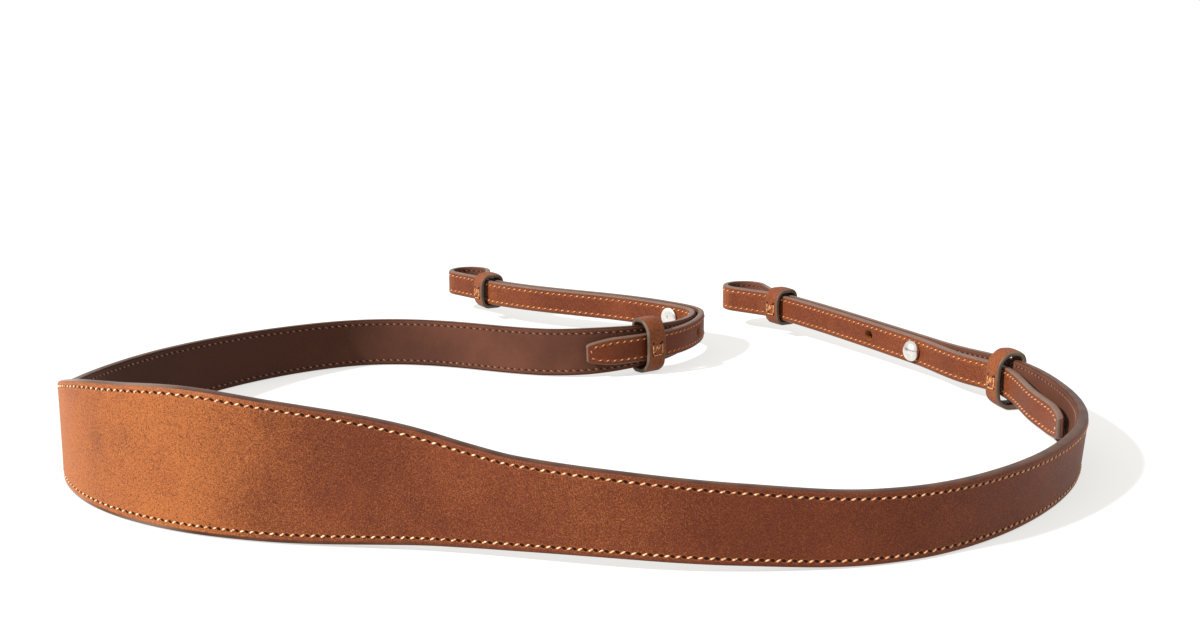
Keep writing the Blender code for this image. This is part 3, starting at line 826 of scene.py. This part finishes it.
def layerPiece(name, section, facing):
    # a sheet of grid cells wrapped into the layer's closed section, from tip to tip
    layer = "grain" if facing < 0 else "lining"
    upper = section["rim"] + section["face"]
    rows = [(1, edge, share, None) for edge, share in upper]
    last = section["face"][-1][0]
    rows += [(1, last, 1.0, share) for share in section["shares"]] + [(0, last, 1.0, 0.0)]
    rows += [(-1, last, 1.0, share) for share in section["shares"][::-1]]
    rows += [(-1, edge, share, None) for edge, share in upper[::-1]]
    rows.append(rows[0])
    cells = {"x_subdivisions": len(columns) - 1, "y_subdivisions": len(rows) - 1}
    piece = added(bpy.ops.mesh.primitive_grid_add, size=1, **cells)
    grid = readPoints(piece)
    column = np.rint((grid[:, 0] + 0.5) * (len(columns) - 1)).astype(int)
    row = np.rint((grid[:, 1] + 0.5) * (len(rows) - 1)).astype(int)
    along = columns[column]
    width, thick = routeAt("width", along), routeAt(layer, along)
    other = routeAt("lining" if facing < 0 else "grain", along)
    tuck = np.clip(np.minimum(along, wholeLength - along) / (0.6 * mm), 0, 1)
    round_ = np.sqrt(1 - (1 - tuck) ** 2)  # the tip's end rounds off like the edges
    sign = np.array([r[0] for r in rows])[row]
    edge = np.array([r[1] for r in rows])[row] * mm
    share = np.array([r[2] for r in rows])[row]
    inner = np.array([-1.0 if r[3] is None else r[3] for r in rows])[row]
    inside = width / 2 - (width / 2 - edge) * np.maximum(inner, 0)
    edge = np.where(inner >= 0, inside, np.minimum(edge, width / 2))
    up = sign * (width / 2 - edge)
    height = np.where(share < 0, share * other, strap["glue"] / 2 + share * thick)
    height = height * (0.45 + 0.55 * round_)
    writePoints(piece, np.column_stack([along, facing * height, up]))
    fromEdge = np.minimum(edge, np.minimum(along, wholeLength - along))
    storePlaces(piece, "rowPlace", along, fromEdge, stretchAt(along))
    run, across = rowPlaceOf(along, up)
    nearRow = np.minimum(along, wholeLength - along) > stitching["fromEdge"] + stitching["cornerRadius"] / 2
    lowerPad = np.where(up < 0, wideningAt(np.abs(along - bandStart)), 0)
    storePlaces(piece, "stitchRow", run, np.where(nearRow, across, 1.0), lowerPad)
    edit(piece, merged, (bpy.ops.mesh.fill_holes, {"sides": 0}), outwards)
    only(piece)
    bpy.ops.object.shade_smooth()
    return piece


def punch(piece, side, pastStud, radius):
    # a round hole through one layer of the doubled end, in the straight strap
    end = ends[side]
    at = np.argmin(np.abs(end["pastStud"] - pastStud))
    along = route["along"][leftCount - 1 - at] if side == "left" else route["along"][-rightCount + at]
    punchRound(piece, along, radius)


def punchRound(piece, along, radius):
    placed = {"location": (along, 0, 0), "rotation": (math.pi / 2, 0, 0)}
    cutter = added(bpy.ops.mesh.primitive_cylinder_add, vertices=24, radius=radius, depth=20 * mm, **placed)
    for material in (grainLeather, rawLeather):  # the cut wall shows raw leather
        cutter.data.materials.append(material)
    cutter.data.polygons.foreach_set("material_index", [1] * len(cutter.data.polygons))
    cutAway(piece, cutter)


def makeLayers():
    for name, section, facing, slot, material, node in (
        ("strapGrain", grainSection, -1, "grain_leather", grainLeather, "strap_leather"),
        ("strapLining", liningSection, 1, "lining_leather", liningLeather, "strap_lining"),
    ):
        piece = layerPiece(name, section, facing)
        piece.data.materials.append(material)
        piece.data.materials.append(rawLeather)
        for side, sign in sides.items():
            punchRound(piece, bandStart + sign * half, stud["shank"] + stud["fit"])
            punch(piece, side, 0, stud["neckRadius"] + stud["fit"])
            punch(piece, side, -sign * strap["holePitch"][side], stud["neckRadius"] + stud["fit"])
        layAlongRoute(piece)
        finishPiece(piece, name, [], [node])
    print("layers laid")


def stitchRing(name, facing, material):
    # one slanted stitch with its ends down in the leather, repeated all round the row
    lying = {"rotation": (0, math.pi / 2, 0)}
    piece = added(bpy.ops.mesh.primitive_uv_sphere_add, segments=6, ring_count=6, radius=1, **lying)
    bpy.ops.object.transform_apply(rotation=True)
    spacing = 3  # of the copies, before each is placed
    offset = {"use_constant_offset": True, "constant_offset_displace": (spacing, 0, 0)}
    modify(piece, "ARRAY", count=stitchCount, use_relative_offset=False, **offset)
    points = readPoints(piece)
    copy = np.rint(points[:, 0] / spacing).astype(int)
    points[:, 0] -= spacing * copy
    run = copy * rowPitch
    wobble = np.sin(copy * 12.9898) * 0.5 + np.sin(copy * 4.137) * 0.5  # each stitch a little its own way
    at, ahead = (
        np.column_stack([np.interp(where, rowRun, rowPath[:, i]) for i in (0, 1)])
        for where in (run, np.clip(run + 0.3 * mm, 0, rowRun[-1]))
    )
    heading = np.arctan2(*(ahead - at).T[::-1]) + stitching["slant"] * (1 + 0.25 * wobble)
    narrowing = strap["bandWidth"] - strap["endWidth"]
    narrowed = np.clip((strap["bandWidth"] - routeAt("width", at[:, 0])) / narrowing, 0, 1)
    onBand, onEnd = stitching["length"]
    length = (onBand + (onEnd - onBand) * narrowed) / 2 * points[:, 0] * (1 + 0.08 * wobble)
    side = stitching["radius"] * points[:, 2]
    x = at[:, 0] + length * np.cos(heading) - side * np.sin(heading)
    z = at[:, 1] + length * np.sin(heading) + side * np.cos(heading)
    layer = "grain" if facing < 0 else "lining"
    surface = strap["glue"] / 2 + routeAt(layer, at[:, 0]) * stitching["groove"] + stitching["lift"]
    y = surface + stitching["radius"] * points[:, 1] - stitching["dive"] * points[:, 0] ** 4
    writePoints(piece, np.column_stack([x, facing * y, z]))
    # painted shade on the thread: along the left doubled end from its tip, and rising from the pad's middle
    # towards the right bend
    worn, (start, end) = stitching["worn"], stitching["duller"]
    fromTip = at[:, 0] / (strap["studToTip"]["left"] + strap["studToLoop"]["left"])
    rightShade = np.clip((at[:, 0] - bandStart - start) / (end - start), 0, 1)
    darkening = worn["band"] + np.maximum(worn["narrow"] * narrowed, worn["rightBend"] * rightShade)
    darkening = np.where(fromTip < stitching["leftTail"], worn["leftTail"], darkening) + worn["varying"] * wobble
    storePlaces(piece, "threadWear", darkening, 0 * darkening, 0 * darkening)
    edit(piece, outwards)
    only(piece)
    bpy.ops.object.shade_smooth()
    layAlongRoute(piece)
    finishPiece(piece, name, [material])


def makeStitches():
    stitchRing("grainStitches", -1, paleThread)
    stitchRing("liningStitches", 1, brownThread)
    print("stitches sewn:", stitchCount, "on each side")


# keepers and studs stand in the frame of the band beside them


def poseAt(place):
    at = np.abs(bandPlace - place).argmin()
    return bandPlan[at], float(bandHeading[at]), float(middleAt(bandPlace[at]))


def strapFrame(place, across=0.0):
    plan, heading, height = poseAt(place)
    forward, side = forwardOf(heading), leftOf(heading)
    centre = plan + across * side
    rows = (
        (forward[0], side[0], 0, centre[0]),
        (forward[1], side[1], 0, centre[1]),
        (0, 0, 1, height),
        (0, 0, 0, 1),
    )
    return Matrix(rows)


keeperSewing = {  # the seam's threads and awl holes, in mm along and up from the keeper's middle
    "threads": [
        ((-2.3, 1.5), (-2.4, -0.5)), ((-2.4, -0.6), (-2.2, -2.3)), ((2.2, 1.3), (2.3, -0.7)),
        ((2.3, -0.8), (2.1, -2.4)), ((-1.5, 1.3), (0.0, -0.7)), ((0.0, -0.8), (0.3, 1.1)),
        ((0.5, 0.9), (1.4, -1.6)), ((-2.1, -2.7), (-0.2, -2.8)), ((0.0, -2.9), (2.0, -2.8)),
    ],
    "holes": [(-2.3, 2.2), (2.2, 2.0), (-2.3, -2.6), (2.2, -2.8), (-1.4, 1.7), (1.5, -2.0)],
    "radius": 0.25,
    "holeRadius": 0.42,
}


def selectWhere(piece, kind, chosen):
    # selects faces or edges in edit mode by their place
    only(piece)
    bpy.ops.object.mode_set(mode="EDIT")
    bpy.ops.mesh.select_mode(type="FACE" if kind == "faces" else "EDGE")
    bpy.ops.mesh.select_all(action="DESELECT")
    bpy.ops.object.mode_set(mode="OBJECT")
    if kind == "faces":
        for face in piece.data.polygons:
            face.select = chosen(face.normal)
    else:
        for line in piece.data.edges:
            first, second = (piece.data.vertices[v].co for v in line.vertices)
            line.select = chosen(first, second)
    bpy.ops.object.mode_set(mode="EDIT")


def boxPiece(size, location=(0, 0, 0)):
    piece = added(bpy.ops.mesh.primitive_cube_add, size=1, location=location)
    piece.scale = size
    bpy.ops.object.transform_apply(location=True, rotation=True, scale=True)
    return piece


def joined(parts):
    bpy.ops.object.select_all(action="DESELECT")
    for part in parts:
        part.select_set(True)
    bpy.context.view_layer.objects.active = parts[0]
    if len(parts) > 1:
        bpy.ops.object.join()
    return bpy.context.object


def keeperRing(length, depth, height, lapSide, roomy, tailCorner):
    # a cube without its two open faces, its long edges rounded, cut into strips, thickened and softened
    piece = boxPiece((length, depth, height))
    selectWhere(piece, "faces", lambda normal: abs(normal.x) > 0.9)
    bpy.ops.mesh.delete(type="FACE")
    bpy.ops.object.mode_set(mode="OBJECT")
    for y, rounding in ((-1, keeper["corner"] - keeper["wall"] / 2), (1, tailCorner)):
        selectWhere(piece, "edges", lambda a, b: abs(a.x - b.x) > length / 2 and a.y * y > 0.49 * depth)
        bpy.ops.mesh.bevel(offset=rounding, segments=7, affect="EDGES")
        bpy.ops.object.mode_set(mode="OBJECT")
    strips = (
        ((1, 0, 0), length, (-0.38, -0.2, 0.0, 0.2, 0.38)),
        ((0, 0, 1), height, (-0.38, -0.26, -0.13, 0.0, 0.13, 0.26, 0.38)),
        ((0, 1, 0), depth, (-0.2, 0.0, 0.2)),
    )
    for axis, size, shares in strips:
        for share in shares:
            edit(piece, (bpy.ops.mesh.bisect, {"plane_co": Vector(axis) * share * size, "plane_no": axis}))
    edit(piece, outwards)
    modify(piece, "SOLIDIFY", thickness=keeper["wall"], offset=1, use_even_offset=True)
    sharp = {"limit_method": "ANGLE", "angle_limit": math.radians(50)}
    modify(piece, "BEVEL", width=keeper["rounding"], segments=3, **sharp)
    points = readPoints(piece)
    middle = 1 - (2 * points[:, 0] / length) ** 2  # the leather bulges a little between its edges
    halfway = np.cos(math.pi / 2 * np.clip(2 * points[:, 2] / height, -1, 1))
    side = np.sign(points[:, 1]) * np.clip(np.abs(points[:, 1]) / (0.45 * depth), 0, 1)
    lap = np.where(np.sign(points[:, 1]) == lapSide, keeper["lap"] * np.sqrt(halfway), 0)
    points[:, 1] += side * (keeper["sideBulge"] * halfway + keeper["crown"] * middle + lap)
    arch = np.cos(math.pi / 2 * np.clip(points[:, 1] / (0.5 * depth + keeper["wall"]), -1, 1))
    top = np.clip((points[:, 2] - 0.25 * height) / (0.25 * height), 0, 1) ** 2
    points[:, 2] += top * (roomy * (0.4 + 0.6 * arch) + keeper["topCrown"] * middle)
    writePoints(piece, points)
    surface = depth / 2 + keeper["wall"] + keeper["lap"] + keeper["sideBulge"] + 0.10 * mm
    return piece, surface


def makeKeeper(node, place, side, lapSide):
    gap = float(standOff(side, place))
    depth = gap + strap["glue"] + 2 * strap["grain"][1] + 2 * keeper["fit"]
    height = 2 * keeperHalfHeight(place)
    near = "pad" if "pad" in node else "lug"
    roomy, tailCorner = keeper["roomy"][near], keeper["tailCorner"][near]
    piece, surface = keeperRing(keeper["length"], depth, height, lapSide, roomy, tailCorner)
    points = readPoints(piece)
    fromEdge = keeper["length"] / 2 - np.abs(points[:, 0])
    storePlaces(piece, "rowPlace", points[:, 2], fromEdge, 0 * fromEdge)
    piece.data.transform(strapFrame(place, gap / 2))
    only(piece)
    bpy.ops.object.shade_smooth_by_angle(angle=math.radians(50))
    first, *rest = node.split("_")
    name = first + "".join(word.capitalize() for word in rest)
    finishPiece(piece, name, [keeperLeather], [node])
    sewKeeper(name + "Seam", strapFrame(place, gap / 2), surface, lapSide)


def bead(size, turn, middle):
    # a small stretched ball for a thread or an awl hole
    piece = added(bpy.ops.mesh.primitive_uv_sphere_add, segments=8, ring_count=6, radius=1)
    points = readPoints(piece) * size
    writePoints(piece, points @ np.array(turn).T + np.array(middle))
    return piece


def sewKeeper(name, frameMatrix, surface, lapSide):
    threads, holes = [], []
    radius = keeperSewing["radius"] * mm
    for start, end in keeperSewing["threads"]:
        a = Vector((start[0] * lapSide, 0, start[1])) * mm
        b = Vector((end[0] * lapSide, 0, end[1])) * mm
        turn = Vector((0, 0, 1)).rotation_difference((b - a).normalized()).to_matrix()
        middle = (a + b) / 2 + Vector((0, lapSide * (surface + 0.05 * mm), 0))
        threads.append(bead((radius, radius, (b - a).length / 2 + 0.15 * mm), turn, middle))
    # the awl holes are flat near-black beads on the surface: painted shade where the holes are
    for x, z in keeperSewing["holes"]:
        middle = (x * lapSide * mm, lapSide * surface, z * mm)
        size = keeperSewing["holeRadius"] * mm
        holes.append(bead((size, 0.12 * mm, size * 1.25), Matrix.Identity(3), middle))
    for parts, suffix, material in ((threads, "Threads", seamThread), (holes, "Holes", darkHole)):
        piece = joined(parts)
        piece.data.transform(frameMatrix)
        bpy.ops.object.shade_smooth()
        finishPiece(piece, name + suffix, [material])


def turnedPiece(profile, frameMatrix):
    # one point drawn out along a half section of (along, radius) and spun round the axis
    piece = added(bpy.ops.mesh.primitive_plane_add, size=mm)
    steps = [(bpy.ops.mesh.merge, {"type": "CENTER"}), (bpy.ops.mesh.select_all, {"action": "SELECT"})]
    steps.append((bpy.ops.transform.translate, {"value": (0, *profile[0])}))
    for before, after in zip(profile, profile[1:]):
        move = {"value": (0, after[0] - before[0], after[1] - before[1])}
        steps.append((bpy.ops.mesh.extrude_vertices_move, {"TRANSFORM_OT_translate": move}))
    edit(piece, *steps)
    turn = {"steps": 40, "angle": 2 * math.pi, "center": (0, 0, 0), "axis": (0, 1, 0)}
    edit(piece, (bpy.ops.mesh.spin, turn))
    edit(piece, merged, outwards)
    piece.data.transform(frameMatrix)
    only(piece)
    bpy.ops.object.shade_smooth_by_angle(angle=math.radians(38))
    return piece


def makeStud(side):
    place = sides[side] * half
    frameMatrix = strapFrame(place)
    glue, fit = strap["glue"] / 2, stud["fit"]
    bandBack, bandFront = -(glue + strap["grain"][1]), glue + strap["lining"][1]
    flange = bandFront + fit
    dome = float(standOff(side, place)) + glue + strap["grain"][1] + fit
    radius, height = stud["buttonRadius"], stud["buttonHeight"]
    profile = [(flange, 0), (flange, stud["flangeRadius"]), (flange + stud["flange"], stud["flangeRadius"])]
    profile += [(flange + stud["flange"], stud["neckRadius"]), (dome, stud["neckRadius"])]
    profile += [(dome + up, radius * share) for up, share in stud["rimSection"]]
    rim = dome + stud["rim"]
    profile.append((rim, radius))
    for i in range(1, 12):
        angle = math.pi / 2 * i / 12
        profile.append((rim + (height - stud["rim"]) * math.sin(angle), radius * math.cos(angle)))
    profile.append((dome + height, 0))
    button = turnedPiece(profile, frameMatrix)
    name = side.capitalize()
    finishPiece(button, "studButton" + name, [polishedNickel], ["stud_button_" + side])
    face = bandBack - fit - stud["head"]
    radius = stud["headRadius"]
    back, end = face + stud["head"], flange - fit
    profile = [(face, 0), (face + 0.02 * mm, radius * 0.5)]
    profile += [(face + deep, radius - inwards) for deep, inwards in stud["headEdge"]]
    profile += [(back, radius), (back, stud["shank"]), (end, stud["shank"]), (end, 0)]
    screw = turnedPiece(profile, Matrix.Identity(4))
    for size in (stud["cross"], stud["cross"][::-1]):
        cutAway(screw, boxPiece(size, (0, face, 0)))
    screw.data.transform(frameMatrix)
    finishPiece(screw, "studScrew" + name, [screwNickel], ["stud_screw_" + side])


def makeFittings():
    for side, sign in sides.items():
        byPad, byLoop = keeperPlaces[side]
        makeKeeper(f"keeper_pad_side_{side}", byPad, side, 1)
        makeKeeper(f"keeper_lug_side_{side}", byLoop, side, sign)
        makeStud(side)
    print("keepers and studs fitted")


# table, light and camera

studio = {
    "tableSize": 12.0,
    "cameraFoot": (0.008, -0.565),
    "cameraHeight": 0.1466,
    "pitch": math.radians(11.45),
    "lens": 46.5,
    "tableColours": ((0.27, 0.27, 0.265), (0.25, 0.25, 0.245)),
    "tableGlow": 0.65,
    "glowColour": (1.0, 0.985, 0.955),
    "sun": 6.3,
    "sunFrom": (-0.734, -0.374, 0.566),
    "sunAngle": math.radians(3.5),
    "sky": 1.0,
}


def makeStudio():
    below = (0, 0, -0.2 * mm)
    table = added(bpy.ops.mesh.primitive_plane_add, size=studio["tableSize"], location=below)
    table.name = "table"
    bpy.ops.object.transform_apply(location=True, rotation=True, scale=True)
    shader = Shader("litTable", 0.8, Specular_IOR_Level=0.0, Emission_Strength=studio["tableGlow"])
    shader.surface.inputs["Emission Color"].default_value = (*studio["glowColour"], 1)
    shader.feed("Base Color", shader.mix(shader.noise(3, 2), *studio["tableColours"]))
    table.data.materials.append(shader.material)

    world = bpy.data.worlds.new("softWorld")
    bpy.context.scene.world = world
    world.use_nodes = True
    background = world.node_tree.nodes["Background"]
    background.inputs["Color"].default_value = (1.0, 1.0, 1.0, 1)
    background.inputs["Strength"].default_value = studio["sky"]

    sun = bpy.data.lights.new("sun", "SUN")
    sun.energy = studio["sun"]
    sun.angle = studio["sunAngle"]
    sunObject = linked("sun", sun)
    sunObject.rotation_euler = (-Vector(studio["sunFrom"])).to_track_quat("-Z", "Y").to_euler()

    lens = bpy.data.cameras.new("camera")
    lens.lens = studio["lens"]
    lens.sensor_width = 36
    lens.clip_start = 0.01
    camera = linked("camera", lens)
    camera.location = (*studio["cameraFoot"], studio["cameraHeight"])
    camera.rotation_euler = (math.pi / 2 - studio["pitch"], 0, 0)
    bpy.context.scene.camera = camera
    bpy.context.scene.view_settings.view_transform = "Standard"
    print("studio set")


makeStudio()
makeLayers()
makeStitches()
makeFittings()
bpy.data.objects.remove(routeCurve)
